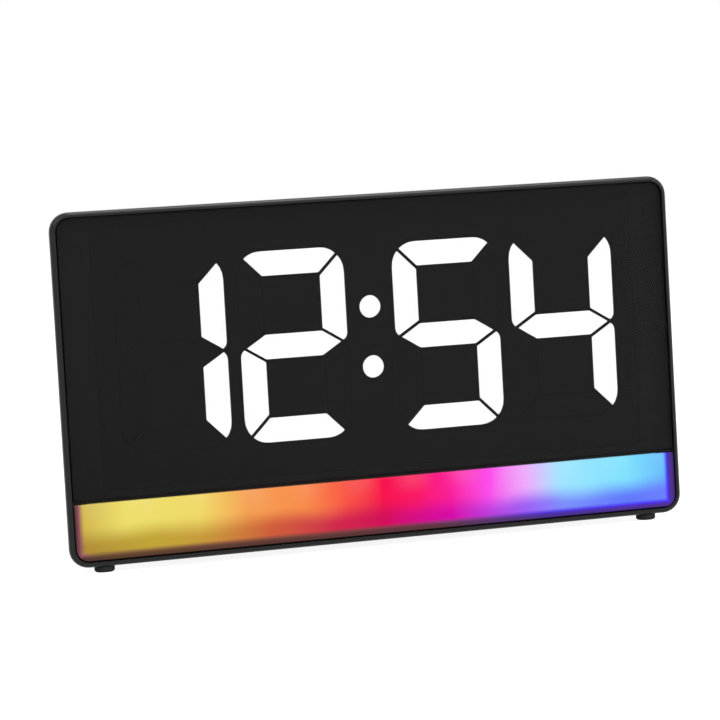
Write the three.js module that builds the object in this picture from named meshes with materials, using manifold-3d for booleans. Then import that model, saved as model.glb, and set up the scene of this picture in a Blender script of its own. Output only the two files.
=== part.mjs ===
// A mood light alarm clock, in millimetres. x runs to the right as seen from the front, y from the
// front to the back, and z up. The origin lies on the surface that the clock stands on, under the
// middle of its width and depth. A depth in this file is measured backwards from the front face.

import * as THREE from 'three';
import { mergeVertices } from 'three/addons/utils/BufferGeometryUtils.js';
import Module from 'manifold-3d';

const wasm = await Module();
wasm.setup();

// Body as a whole, which is built round its digits
const displaySideMargin = 15.95; // from the outer digits to the body's sides
const displayMargin = 11.2; // from the digits to the upper and lower edges of the lens
const cornerRadius = 5;
const wall = 2;
const fitGap = 0.25; // the dark line round each piece that is let into the face
const seatGap = 0.2; // between a piece and what it rests on
const holeClearance = 0.15; // round a screw, a foot's stem or a diffuser's plug
const overrun = 1; // how far a cut runs past the face that it opens
const root = 0.6; // how far a moulded boss or rib runs into the wall that carries it

// Front frame, a ring with a crossbar between the display and the light bar
const rimWidth = 1.3;
const frontRound = 1.2;
const frameDepth = 5.2;
const uprightDepth = 1.8; // where the sides and the top begin to draw in towards the back
const sideDraw = 1; // how far they have drawn in at the parting line
const crossbarWidth = 0.6;
const crossbarRecess = 0.9;
const topLedge = 2;
const crossbarLedge = 2;
const openingRadius = 2;

// Display lens and light bar
const faceRecess = 0.35;
const lensThickness = 1.6;
const lensFootRadius = 0.4;
const edgeBreak = 0.2;
const barHeight = 14.6;
const barSideMargin = 2.5; // the unlit strip at each end, where the frame's ledge is behind
const barLowMargin = 1.9;
const barPlug = 0.85;

// Digits: four cells of seven segments, and a colon
const digitWidth = 29.3;
const digitHeight = 49.8;
const digitSpace = 3.4;
const colonSpace = 13.1;
const digitDrop = 0.5; // from the middle of the lens down to the digits' middle
const strokeWidth = 6.8; // of a digit's uprights
const strokeHeight = 6.4; // of its level bars
const segmentGap = 0.7;
const digitRound = 6.4;
const waistInset = 1.1;
const waistRound = 2.4;
const dotDiameter = 5.9;
const dotSpacing = 15.8;
const dotRise = 0.7;
const maskMargin = 5.5; // from the outer digits to the mask's sides
const maskThickness = 0.8;
const sheetThickness = 1;
const sheetMargin = 0.8;
const plugRecess = 0.1;
const reflectorThickness = 4;
const reflectorSideMargin = 1.4;
const reflectorEndMargin = 4.25;
const reflectorRadius = 6;

// Rear case: a shallow dish with a hump that holds the works
const partingGap = 0.2;
const backRound = 2.8;
const dishFloor = 0.6; // how far inside the dish's edge its floor lies
const dishWall = 2.3;
const reflectorClearance = 0.8; // between the reflector and the hump's inside
const humpLowInset = 3.4;
const humpRadius = 8;
const humpDepth = 29;
const humpTaper = 2;
const humpBackRound = 3;

// Boards
const boardThickness = 1.6;
const mainBoardSideGap = 2.1; // to the clamp ribs
const mainBoardLowGap = 3.5; // to the hump's floor
const boardRadius = 2;
const switchWidth = 6;
const switchBody = 3.5;
const switchStemDiameter = 3.5;
const switchStem = 0.8;

// Buttons on the back
const buttonCount = 6;
const buttonPitch = 16;
const buttonRowDrop = 5; // from the main board's upper edge to the buttons' centres
const buttonDiameter = 7;
const buttonProud = 1;
const buttonEdge = 0.5;
const buttonClearance = 0.3;
const buttonTravel = 0.5;
const buttonFlangeWidth = 1;
const buttonFlange = 0.8;
const buttonStemDiameter = 3;
const buttonStem = 1.5;
const pressGap = 0.3; // left between a pressed button and its switch

// Snooze bar on top of the hump, behind the frame's top edge
const snoozeLength = 60;
const snoozeWidth = 12;
const snoozeEndFlat = 0.2; // the short straight side left between the two corners of an end
const snoozeProud = 1.8;
const snoozeEdge = 0.6;
const snoozeTravel = 0.8;
const snoozeFlangeWidth = 1.2;
const snoozeFlange = 1.2;
const snoozeStemWidth = 4;
const snoozeStemThickness = 2.4;
const snoozeStem = 5.3;
const snoozeSwitchHeight = 4.5;
const snoozeSwitchEdge = 0.3; // the switch's body round its stem

// Light box under the display
const lightBoxWall = 0.8;
const troughDrop = 6.2; // from the tray's back to the trough's
const troughSideGap = 5.5; // to the hump's inside
const troughLowGap = 0.5;
const stripEndGap = 0.7; // to the trough's inside
const stripEdgeGap = 0.85;
const stripThickness = 1;
const ledCount = 6;
const ledEndInset = 3.5; // from the strip's end to its last lamp's centre
const ledSize = 5;
const ledHeight = 1.6;
const ledWall = 0.5;
const ledWellDepth = 0.4;

// Power, sound and the other things on the main board
const socketWidth = 8.94;
const socketHeight = 3.16;
const socketWall = 0.3;
const socketEndFlat = 0.36; // the short straight side left between the two corners of an end
const socketInset = 18; // an inset is measured from the main board's side
const socketRise = 4.7; // a rise is measured from the main board's lower edge
const socketMouthDepth = 6.2;
const socketSunk = 0.5;
const tongueWidth = 6.7;
const tongueThickness = 0.7;
const tongueLength = 4.5;
const buzzerDiameter = 12;
const buzzerHeight = 6;
const buzzerEdge = 0.4;
const buzzerHole = 2;
const buzzerHoleDepth = 0.8;
const buzzerInset = 32;
const buzzerRise = 25.5;
const grilleHole = 1.6;
const grillePitch = 3.2;
const grilleCount = 6;
const capacitorDiameter = 6.3;
const capacitorHeight = 8;
const capacitorBase = 0.6;
const capacitorGroove = 0.4;
const capacitorInset = 44;
const capacitorRise = 41.5;
const chipSize = 12;
const chipHeight = 1.6;
const chipX = -12;
const chipRise = 35.5;
const crystalLength = 8;
const crystalDiameter = 3;
const crystalX = 6;
const crystalRise = 27.5;
const cellDiameter = 20;
const cellThickness = 3.2;
const cellStep = 0.8;
const holderSide = 1.8;
const holderEnd = 1.8;
const holderFloor = 0.8;

// Battery door in the back
const doorInset = 26;
const doorRise = 21.5;
const doorSideMargin = 8.6; // from the coin cell to the door's edges
const doorEndMargin = 4;
const doorThickness = 1.6;
const doorRadius = 2.5;
const doorLedge = 2.4;
const doorWellRadius = 0.7;
const doorRim = 1; // how much thicker the back is where the door lies on it
const doorPad = 1;
const doorScrewLug = 5;
const doorScrewInset = 3.2;

// Ribbon cable between the two boards
const ribbonWidth = 16;
const ribbonThickness = 0.6;
const ribbonInset = 20;
const ribbonDrop = 14; // from the main board's upper edge to the ribbon's ends
const ribbonSag = 9;
const ribbonSteps = 10;
const ribbonTail = 2;

// Screws and feet
const caseScrewDiameter = 2.2;
const caseScrewHead = 4.2;
const caseScrewHeadHeight = 1.1;
const caseScrewOut = 3.2; // from the display's opening outwards
const caseScrewRise = 6.4; // from the crossbar to the lower pair
const caseScrewDrop = 9.6; // from the body's top to the upper pair
const caseBossDiameter = 6.2;
const boardScrewDiameter = 1.8;
const boardScrewHead = 3.4;
const boardScrewHeadHeight = 0.9;
const boardScrewReach = 3;
const displayScrewRise = 20;
const mainPostDiameter = 5;
const mainPostInset = 4.5; // from the main board's sides
const mainPostRise = 9;
const mainPostDrop = 14;
const crossWidth = 0.5;
const crossDepth = 0.5;
const crossMargin = 0.6; // from the ends of the cross to the head's edge
const footDiameter = 5.3;
const footProud = 1.6;
const footEdge = 0.4;
const footStemDiameter = 2.6;
const footRoof = 0.3; // what is left of the rim above the hole for a foot's stem
const footInset = 9.4;
const frontFootDepth = 3.35; // of the front feet's middles, behind the front face
const rearFootInset = 14;
const rearFootBackInset = 6.7;
const legDiameter = 8;

// Ribs inside the case that hold the display and the light box forward
const clampRib = 4;
const clampReach = 5;
const clampInset = 7; // from the display board's ends
const lightRibWidth = 16;
const lightRibThickness = 2;
const lightRibX = 40;
const lightRibReach = 4.5; // how far a rib reaches up the trough

// How finely the round shapes are faceted
const cornerSteps = 7;
const digitSteps = 6;
const frontRoundSteps = 5;
const roundSteps = 3;
const turnedSides = 14;
const screwSides = 8;

// Levels and widths worked out from the sizes above
const halfDigits = colonSpace / 2 + 2 * digitWidth + digitSpace;
const right = halfDigits + displaySideMargin;
const bodyLow = footProud;
const barLow = bodyLow + rimWidth + fitGap;
const barHigh = barLow + barHeight;
const crossbarLow = barHigh + fitGap;
const crossbarHigh = crossbarLow + crossbarWidth;
const lensLow = crossbarHigh + fitGap;
const lensHigh = lensLow + digitHeight + 2 * displayMargin;
const bodyHigh = lensHigh + fitGap + rimWidth;
const digitZ = (lensLow + lensHigh) / 2 - digitDrop;
const lensBack = faceRecess + lensThickness;
const ledgeDepth = lensBack + seatGap;
const maskFront = lensBack + seatGap;
const maskBack = maskFront + maskThickness;
const sheetFront = maskBack + seatGap;
const reflectorFront = sheetFront + sheetThickness + seatGap;
const displayBoardFront = reflectorFront + reflectorThickness + seatGap;
const displayBoardBack = displayBoardFront + boardThickness;
const caseFront = frameDepth + partingGap;
const dishBack = caseFront + backRound;
const dishFloorDepth = caseFront + dishFloor;
const humpBack = dishBack + humpDepth;
const humpInside = humpBack - wall;
const humpRight = halfDigits + reflectorSideMargin + reflectorClearance + wall;
const humpLow = bodyLow + humpLowInset;
const humpHigh = digitZ + digitHeight / 2 + reflectorEndMargin + reflectorClearance + wall;
const snoozeFlangeHigh = humpHigh - wall - seatGap;
const snoozeStemLow = snoozeFlangeHigh - snoozeFlange - snoozeStem;
const buttonFlangeBack = humpInside - seatGap;
const buttonTip = buttonFlangeBack - buttonFlange - buttonStem;
const clampInside = humpRight - wall - humpTaper + root - clampReach;
const mainBoardBack = buttonTip - buttonTravel - pressGap - switchBody - switchStem;
const mainBoardFront = mainBoardBack - boardThickness;
const mainBoardRight = clampInside - mainBoardSideGap;
const mainBoardLow = humpLow + wall + mainBoardLowGap;
const mainBoardHigh = snoozeStemLow - snoozeTravel - pressGap - switchStem;
const buttonRow = mainBoardHigh - buttonRowDrop;
const socketX = mainBoardRight - socketInset;
const socketZ = mainBoardLow + socketRise;
const socketRadius = (socketHeight - socketEndFlat) / 2;
const buzzerX = mainBoardRight - buzzerInset;
const buzzerZ = mainBoardLow + buzzerRise;
const doorX = doorInset - mainBoardRight;
const doorZ = mainBoardLow + doorRise;
const lightBoxFront = lensBack + barPlug + seatGap;
const trayBack = dishFloorDepth - seatGap;
const troughBack = trayBack + troughDrop;
const footStem = rimWidth - footRoof - seatGap;
const rearFootDepth = humpBack - rearFootBackInset;
const totalDepth = humpBack + buttonProud;
const digitCentres = [-1, 1].flatMap((side) => [0, 1].map((place) => side
 * (colonSpace / 2 + digitWidth / 2 + place * (digitWidth + digitSpace)))).sort((a, b) => a - b);

const quarterTurn = Math.PI / 2;

function behind(depth) {
  return depth - totalDepth / 2;
}

function insetBox(box, inset) {
  return {
    left: box.left + inset,
    right: box.right - inset,
    low: box.low + inset,
    high: box.high - inset,
  };
}

function boxAround(x, z, width, height) {
  return { left: x - width / 2, right: x + width / 2, low: z - height / 2, high: z + height / 2 };
}

function arc(x, y, radius, start, end, steps) {
  return Array.from({ length: steps + 1 }, (_, step) => {
    const angle = start + (end - start) * step / steps;
    return new THREE.Vector2(x + radius * Math.cos(angle), y + radius * Math.sin(angle));
  });
}

// The corners run anticlockwise from the top right. Top and bottom may differ in radius.
function roundedOutline(box, topRadius, lowRadius = topRadius, steps = cornerSteps) {
  const corners = [
    [box.right - topRadius, box.high - topRadius, topRadius],
    [box.left + topRadius, box.high - topRadius, topRadius],
    [box.left + lowRadius, box.low + lowRadius, lowRadius],
    [box.right - lowRadius, box.low + lowRadius, lowRadius],
  ];
  return corners.flatMap(([x, y, radius], turn) => arc(x, y, radius, turn * quarterTurn,
    (turn + 1) * quarterTurn, steps));
}

function circleOutline(x, y, radius, sides = turnedSides) {
  return arc(x, y, radius, 0, 4 * quarterTurn, sides).slice(0, sides);
}

function boxOutline(box) {
  return [[box.right, box.high], [box.left, box.high], [box.left, box.low], [box.right, box.low]]
    .map(([x, y]) => new THREE.Vector2(x, y));
}

// Keeps the part of a convex outline where the distance along the unit normal is within the limit
function clip(outline, normal, limit) {
  return outline.flatMap((point, place) => {
    const next = outline[(place + 1) % outline.length];
    const here = point.dot(normal) - limit;
    const there = next.dot(normal) - limit;
    const kept = here <= 0 ? [point] : [];
    return here * there < 0 ? [...kept, point.clone().lerp(next, here / (here - there))] : kept;
  });
}

// A plate parallel to the face, from one depth to another
function plate(outline, front, back) {
  const shape = new THREE.Shape(outline);
  const geometry = new THREE.ExtrudeGeometry(shape, { depth: back - front, bevelEnabled: false });
  const stand = new THREE.Matrix4().set(1, 0, 0, 0, 0, 0, -1, behind(back), 0, 1, 0, 0, 0, 0, 0, 1);
  return geometry.applyMatrix4(stand);
}

// A block whose outline lies flat, from one height to another
function column(outline, low, high) {
  const shape = new THREE.Shape(outline);
  const geometry = new THREE.ExtrudeGeometry(shape, { depth: high - low, bevelEnabled: false });
  return geometry.translate(0, 0, low);
}

// A closed skin through outlines with equal numbers of points, from its front cap to its back cap
function loft(rings) {
  const count = rings[0].outline.length;
  const points = rings.flatMap(({ outline, depth }) => outline.map(({ x, y }) => [x, behind(depth), y]));
  const faces = [];
  for (let ring = 0; ring < rings.length - 1; ring += 1) {
    for (let place = 0; place < count; place += 1) {
      const here = ring * count + place;
      const next = ring * count + (place + 1) % count;
      faces.push([here, here + count, next], [next, here + count, next + count]);
    }
  }
  const last = (rings.length - 1) * count;
  THREE.ShapeUtils.triangulateShape(rings[0].outline, []).forEach((face) => faces.push(face));
  THREE.ShapeUtils.triangulateShape(rings[rings.length - 1].outline, [])
    .forEach(([a, b, c]) => faces.push([c + last, b + last, a + last]));
  const geometry = new THREE.BufferGeometry();
  geometry.setAttribute('position', new THREE.Float32BufferAttribute(points.flat(), 3));
  geometry.setIndex(faces.flat());
  return geometry;
}

// A turned piece whose axis runs from the front to the back, from pairs of radius and depth
function turned(profile, sides = turnedSides) {
  return new THREE.LatheGeometry(profile.map(([radius, depth]) => new THREE.Vector2(radius, depth)), sides);
}

// The same, stood up: the profile's second number becomes a height
function turnedUpright(profile, sides = turnedSides) {
  const stand = new THREE.Matrix4().set(1, 0, 0, 0, 0, 0, -1, 0, 0, 1, 0, 0, 0, 0, 0, 1);
  return turned(profile, sides).applyMatrix4(stand);
}

function rod(x, z, diameter, front, back, sides = screwSides) {
  return plate(circleOutline(x, z, diameter / 2, sides), front, back);
}

function toSolid(geometry) {
  const bare = geometry.clone();
  bare.deleteAttribute('normal');
  bare.deleteAttribute('uv');
  const merged = mergeVertices(bare);
  const corners = merged.index.array;
  const faces = [];
  for (let face = 0; face < corners.length; face += 3) {
    const [a, b, c] = corners.slice(face, face + 3);
    if (a !== b && b !== c && c !== a) {
      faces.push(a, b, c);
    }
  }
  const triVerts = Uint32Array.from(faces);
  const vertProperties = merged.attributes.position.array;
  return new wasm.Manifold(new wasm.Mesh({ numProp: 3, vertProperties, triVerts }));
}

function toGeometry(solid) {
  const { vertProperties, triVerts } = solid.getMesh();
  const geometry = new THREE.BufferGeometry();
  geometry.setAttribute('position', new THREE.BufferAttribute(vertProperties, 3));
  geometry.setIndex(new THREE.BufferAttribute(triVerts, 1));
  return geometry;
}

function join(...pieces) {
  return toGeometry(pieces.map(toSolid).reduce((whole, piece) => whole.add(piece)));
}

function cut(piece, ...cutters) {
  return toGeometry(cutters.map(toSolid).reduce((whole, cutter) => whole.subtract(cutter), toSolid(piece)));
}

// A plate with openings right through
function openPlate(outline, front, back, openings) {
  const cutters = openings.map((opening) => plate(opening, front - overrun, back + overrun));
  return cut(plate(outline, front, back), ...cutters);
}

const finishes = {
  frameBlack: { color: 0x2a2a2b, roughness: 0.5, metalness: 0 },
  lensSmoke: { color: 0x222222, roughness: 0.15, metalness: 0 },
  barOpal: { color: 0xe8a0a8, roughness: 0.35, metalness: 0 },
  maskBlack: { color: 0x1a1a1a, roughness: 0.8, metalness: 0 },
  opalWhite: { color: 0xf4f4f2, roughness: 0.4, metalness: 0 },
  reflectorWhite: { color: 0xe9e9e6, roughness: 0.6, metalness: 0 },
  boardGreen: { color: 0x1f4a33, roughness: 0.5, metalness: 0 },
  chipBlack: { color: 0x222224, roughness: 0.55, metalness: 0 },
  plainSteel: { color: 0xb9bbbe, roughness: 0.35, metalness: 0.9 },
  screwBlack: { color: 0x303032, roughness: 0.4, metalness: 0.8 },
  rubberBlack: { color: 0x1c1c1c, roughness: 0.85, metalness: 0 },
  buttonBlack: { color: 0x323234, roughness: 0.5, metalness: 0 },
  cableGrey: { color: 0x9a9ca0, roughness: 0.6, metalness: 0 },
};

function part(name, geometry, finish, x = 0, y = 0, z = 0) {
  const mesh = new THREE.Mesh(geometry, new THREE.MeshStandardMaterial(finishes[finish]));
  mesh.name = name;
  mesh.position.set(x, y, z);
  return mesh;
}

function assembly(...pieces) {
  return new THREE.Group().add(...pieces.flat());
}

const bodyBox = { left: -right, right, low: bodyLow, high: bodyHigh };
const partingBox = { ...insetBox(bodyBox, sideDraw), low: bodyLow };
const faceRadius = cornerRadius - rimWidth;
const displayOpening = {
  left: -(halfDigits + maskMargin + seatGap),
  right: halfDigits + maskMargin + seatGap,
  low: crossbarHigh + crossbarLedge,
  high: bodyHigh - rimWidth - topLedge,
};
const faceBox = { left: rimWidth + fitGap - right, right: right - rimWidth - fitGap };
const barBox = { ...faceBox, low: barLow, high: barHigh };
const lightOpening = {
  left: barBox.left + barSideMargin,
  right: barBox.right - barSideMargin,
  low: barLow + barLowMargin,
  high: barHigh + fitGap,
};
const caseScrewPlaces = [-1, 1].flatMap((side) => [
  [side * (displayOpening.right + caseScrewOut), crossbarHigh + caseScrewRise],
  [side * (displayOpening.right + caseScrewOut), bodyHigh - caseScrewDrop],
]);

const frontFootPlaces = [-1, 1].map((side) => side * (right - footInset));

// The frame's block: a rounded front edge, an upright edge, and then sides and top that draw in
function frameBlock() {
  const turns = Array.from({ length: frontRoundSteps + 1 },
    (_, step) => quarterTurn * step / frontRoundSteps);
  const front = turns.map((turn) => {
    const inset = frontRound * (1 - Math.sin(turn));
    return {
      outline: roundedOutline(insetBox(bodyBox, inset), cornerRadius - inset),
      depth: frontRound * (1 - Math.cos(turn)),
    };
  });
  return loft([
    ...front,
    { outline: roundedOutline(bodyBox, cornerRadius), depth: uprightDepth },
    { outline: roundedOutline(partingBox, cornerRadius - sideDraw, cornerRadius), depth: frameDepth },
  ]);
}

function frontFrame() {
  const recess = { left: rimWidth - right, right: right - rimWidth };
  const lensRecess = { ...recess, low: crossbarHigh, high: bodyHigh - rimWidth };
  const barRecess = { ...recess, low: bodyLow + rimWidth, high: crossbarLow };
  const crossbarTop = { ...recess, low: crossbarLow - fitGap, high: crossbarHigh + fitGap };
  const through = frameDepth + overrun;
  const screwHole = caseScrewDiameter + 2 * holeClearance;
  return cut(
    frameBlock(),
    plate(roundedOutline(lensRecess, faceRadius, lensFootRadius), -overrun, ledgeDepth),
    plate(roundedOutline(barRecess, lensFootRadius, faceRadius), -overrun, ledgeDepth),
    plate(boxOutline(crossbarTop), -overrun, crossbarRecess),
    plate(roundedOutline(displayOpening, openingRadius), -overrun, through),
    plate(roundedOutline(lightOpening, lensFootRadius, openingRadius), -overrun, through),
    ...caseScrewPlaces.map(([x, z]) => rod(x, z, screwHole, ledgeDepth - overrun, through)),
    ...frontFootPlaces.map((x) => footHole(x, frontFootDepth)),
  );
}

// A blind hole up into the body for a foot's stem
function footHole(x, depth) {
  const outline = circleOutline(x, behind(depth), footStemDiameter / 2 + holeClearance, screwSides);
  return column(outline, bodyLow - overrun, bodyLow + footStem + seatGap);
}

function displayLens() {
  const box = { ...faceBox, low: lensLow, high: lensHigh };
  const ring = (inset, depth) => ({
    outline: roundedOutline(insetBox(box, inset), faceRadius - fitGap - inset, lensFootRadius - inset),
    depth,
  });
  return loft([ring(edgeBreak, faceRecess), ring(0, faceRecess + edgeBreak), ring(0, lensBack)]);
}

function lightBar() {
  const ring = (inset, depth) => ({
    outline: roundedOutline(insetBox(barBox, inset), lensFootRadius - inset, faceRadius - fitGap - inset),
    depth,
  });
  const plug = insetBox({ ...lightOpening, high: barHigh }, seatGap);
  return join(
    loft([ring(edgeBreak, faceRecess), ring(0, faceRecess + edgeBreak), ring(0, lensBack)]),
    plate(roundedOutline(plug, lensFootRadius, openingRadius - seatGap), lensBack - root,
      lensBack + barPlug),
  );
}

const halfDigitWidth = digitWidth / 2;
const halfDigitHeight = digitHeight / 2;
const mitreNormal = new THREE.Vector2(1, -1).normalize();
const waistFall = (strokeHeight + segmentGap) / 2;
const waistNormal = new THREE.Vector2(waistFall, strokeWidth - waistInset).normalize();
const waistLimit = waistNormal.x * (halfDigitWidth - waistInset);

function boardScrewHole(x, z) {
  return circleOutline(x, z, boardScrewDiameter / 2 + holeClearance, screwSides);
}

function mirror(outline, acrossX, acrossY) {
  const mirrored = outline.map((point) => new THREE.Vector2(point.x * acrossX, point.y * acrossY));
  return acrossX * acrossY < 0 ? mirrored.reverse() : mirrored;
}

function negative(vector) {
  return vector.clone().negate();
}

// The upper half of a digit's cell, from which the top bar and the uprights are clipped
function upperHalf(shrink, steps) {
  const half = { left: -halfDigitWidth, right: halfDigitWidth, low: 0, high: halfDigitHeight };
  return roundedOutline(insetBox(half, shrink), digitRound - shrink, waistRound - shrink, steps);
}

function topBar(shrink, steps) {
  const mitre = mitreNormal.x * (halfDigitWidth - halfDigitHeight) - segmentGap / 2 - shrink;
  const mirroredNormal = new THREE.Vector2(-mitreNormal.x, mitreNormal.y);
  const innerEdge = strokeHeight - halfDigitHeight - shrink;
  const cap = clip(upperHalf(shrink, steps), new THREE.Vector2(0, -1), innerEdge);
  return clip(clip(cap, mitreNormal, mitre), mirroredNormal, mitre);
}

function upperRight(shrink, steps) {
  const mitre = mitreNormal.x * (halfDigitHeight - halfDigitWidth) - segmentGap / 2 - shrink;
  const innerEdge = strokeWidth - halfDigitWidth - shrink;
  const side = clip(upperHalf(shrink, steps), new THREE.Vector2(-1, 0), innerEdge);
  const mitred = clip(side, negative(mitreNormal), mitre);
  return clip(mitred, negative(waistNormal), -waistLimit - segmentGap / 2 - shrink);
}

function middleBar(shrink) {
  const box = boxAround(0, 0, digitWidth, strokeHeight);
  return [[1, 1], [1, -1], [-1, 1], [-1, -1]].reduce((outline, [x, y]) => clip(outline,
    new THREE.Vector2(waistNormal.x * x, waistNormal.y * y), waistLimit - segmentGap / 2 - shrink),
  boxOutline(insetBox(box, shrink)));
}

// All seven segments of a digit about its centre, each drawn in by a clearance
function segments(shrink, steps = digitSteps) {
  const bar = topBar(shrink, steps);
  const upright = upperRight(shrink, steps);
  return [
    bar,
    mirror(bar, 1, -1),
    middleBar(shrink),
    upright,
    mirror(upright, -1, 1),
    mirror(upright, 1, -1),
    mirror(upright, -1, -1),
  ];
}

function dots(shrink) {
  return [-1, 1].map((side) => circleOutline(0, dotRise + side * dotSpacing / 2, dotDiameter / 2 - shrink,
    2 * turnedSides));
}

function moveOutlines(outlines, x, z) {
  return outlines.map((outline) => outline.map((point) => new THREE.Vector2(point.x + x, point.y + z)));
}

function displayWindows(steps = digitSteps) {
  const digits = digitCentres.flatMap((x) => moveOutlines(segments(0, steps), x, digitZ));
  return [...digits, ...moveOutlines(dots(0), 0, digitZ)];
}

function digitMask() {
  const outline = roundedOutline(insetBox(displayOpening, seatGap), openingRadius);
  return openPlate(outline, maskFront, maskBack, displayWindows());
}

// A milky sheet behind the mask with a raised plug for each window
function diffuserSheet(box, plugs) {
  const sheet = plate(boxOutline(insetBox(box, -sheetMargin)), sheetFront, sheetFront + sheetThickness);
  const raised = plugs.map((plug) => plate(plug, maskFront + plugRecess, sheetFront + root));
  return join(sheet, ...raised);
}

function digitDiffuser() {
  return diffuserSheet(boxAround(0, 0, digitWidth, digitHeight), segments(holeClearance));
}

function colonDiffuser() {
  const box = boxAround(0, dotRise, dotDiameter, dotSpacing + dotDiameter);
  return diffuserSheet(box, dots(holeClearance));
}

const displayBox = boxAround(0, digitZ, 2 * (halfDigits + reflectorSideMargin),
  digitHeight + 2 * reflectorEndMargin);
const displayScrewPlaces = [-1, 1].map((side) => [0, digitZ + side * displayScrewRise]);
const displayScrewHoles = displayScrewPlaces.map(([x, z]) => boardScrewHole(x, z));

function segmentReflector() {
  return openPlate(roundedOutline(displayBox, reflectorRadius), reflectorFront,
    reflectorFront + reflectorThickness, [...displayWindows(1), ...displayScrewHoles]);
}

function displayBoard() {
  return openPlate(roundedOutline(displayBox, reflectorRadius), displayBoardFront, displayBoardBack,
    displayScrewHoles);
}

// A screw with a cross recess in its round head, driven forwards from its head at depth zero
function screw(diameter, headDiameter, headHeight, length) {
  const headRadius = headDiameter / 2;
  const body = turned([
    [0, -length],
    [diameter / 2, -length],
    [diameter / 2, 0],
    [headRadius, 0],
    [headRadius, headHeight - edgeBreak],
    [headRadius - edgeBreak, headHeight],
    [0, headHeight],
  ], screwSides);
  const slot = new THREE.BoxGeometry(headDiameter - 2 * crossMargin, crossDepth + overrun, crossWidth);
  slot.translate(0, headHeight - crossDepth + (crossDepth + overrun) / 2, 0);
  return cut(body, slot, slot.clone().rotateY(quarterTurn));
}

function boardScrew() {
  return screw(boardScrewDiameter, boardScrewHead, boardScrewHeadHeight, boardScrewReach + boardThickness);
}

function doorScrew() {
  return screw(boardScrewDiameter, boardScrewHead, boardScrewHeadHeight,
    boardScrewReach + wall - boardScrewHeadHeight);
}

function caseScrew() {
  const length = dishBack - caseScrewHeadHeight - ledgeDepth - seatGap;
  return screw(caseScrewDiameter, caseScrewHead, caseScrewHeadHeight, length);
}

const tray = insetBox(lightOpening, seatGap);
const trough = {
  left: wall + troughSideGap - humpRight,
  right: humpRight - wall - troughSideGap,
  low: humpLow + wall + troughLowGap,
  high: tray.high,
};
const troughInside = insetBox(trough, lightBoxWall);
const troughMiddle = (trough.low + trough.high) / 2;
const stripBack = troughBack - lightBoxWall - seatGap;
const stripFront = stripBack - stripThickness;
const ledPitch = 2 * (troughInside.right - stripEndGap - ledEndInset) / (ledCount - 1);

// A white tray in the light opening whose middle drops back into a trough for the lamps
function lightBox() {
  return cut(
    join(
      plate(roundedOutline(tray, openingRadius), lightBoxFront, trayBack),
      plate(roundedOutline(trough, openingRadius), lightBoxFront + root, troughBack),
    ),
    plate(roundedOutline(insetBox(tray, lightBoxWall), openingRadius), lightBoxFront - overrun,
      trayBack - lightBoxWall),
    plate(roundedOutline(troughInside, openingRadius), lightBoxFront - overrun, troughBack - lightBoxWall),
  );
}

function lightStripBoard() {
  const box = {
    left: troughInside.left + stripEndGap,
    right: troughInside.right - stripEndGap,
    low: troughInside.low + stripEdgeGap,
    high: troughInside.high - stripEdgeGap,
  };
  return plate(boxOutline(box), stripFront, stripBack);
}

function moodLed() {
  const body = plate(boxOutline(boxAround(0, 0, ledSize, ledSize)), -ledHeight, 0);
  return cut(body, rod(0, 0, ledSize - 2 * ledWall, -ledHeight - overrun, ledWellDepth - ledHeight));
}

const mainPostPlaces = [-1, 1].flatMap((side) => [
  [side * (mainBoardRight - mainPostInset), mainBoardLow + mainPostRise],
  [side * (mainBoardRight - mainPostInset), mainBoardHigh - mainPostDrop],
]);

function mainBoard() {
  const box = { left: -mainBoardRight, right: mainBoardRight, low: mainBoardLow, high: mainBoardHigh };
  const holes = mainPostPlaces.map(([x, z]) => boardScrewHole(x, z));
  return openPlate(roundedOutline(box, boardRadius), mainBoardFront, mainBoardBack, holes);
}

// A push switch that stands on a board, its stem towards the back from depth zero
function pushSwitch() {
  const body = plate(boxOutline(boxAround(0, 0, switchWidth, switchWidth)), 0, switchBody);
  return join(body, rod(0, 0, switchStemDiameter, switchBody - root, switchBody + switchStem));
}

const snoozeDepth = mainBoardFront - switchBody / 2;

// The snooze bar's switch lies on the board's front with its stem up
function snoozeSwitch() {
  const box = boxAround(0, mainBoardHigh - snoozeSwitchHeight / 2, switchWidth, snoozeSwitchHeight);
  const body = plate(boxOutline(box), mainBoardFront - switchBody, mainBoardFront);
  const stem = circleOutline(0, behind(snoozeDepth), switchBody / 2 - snoozeSwitchEdge, screwSides);
  return join(body, column(stem, mainBoardHigh - root, mainBoardHigh + switchStem));
}

function snoozeOutline(grow) {
  const box = boxAround(0, behind(snoozeDepth), snoozeLength, snoozeWidth);
  return roundedOutline(insetBox(box, -grow), (snoozeWidth - snoozeEndFlat) / 2 + grow);
}

function snoozeBar() {
  const top = humpHigh + snoozeProud;
  const stemBox = boxAround(0, behind(snoozeDepth), snoozeStemWidth, snoozeStemThickness);
  const turns = Array.from({ length: roundSteps + 1 }, (_, step) => quarterTurn * step / roundSteps);
  const cap = turns.slice(0, -1).map((turn, step) => {
    const inset = snoozeEdge * (1 - Math.cos(turn));
    const high = top - snoozeEdge * (1 - Math.sin(turns[step + 1]));
    return column(snoozeOutline(-inset), top - snoozeEdge, high);
  });
  return join(
    column(snoozeOutline(snoozeFlangeWidth), snoozeFlangeHigh - snoozeFlange, snoozeFlangeHigh),
    column(snoozeOutline(0), snoozeFlangeHigh - root, top - snoozeEdge),
    ...cap,
    column(boxOutline(stemBox), snoozeStemLow, snoozeFlangeHigh - root),
  );
}

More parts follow.
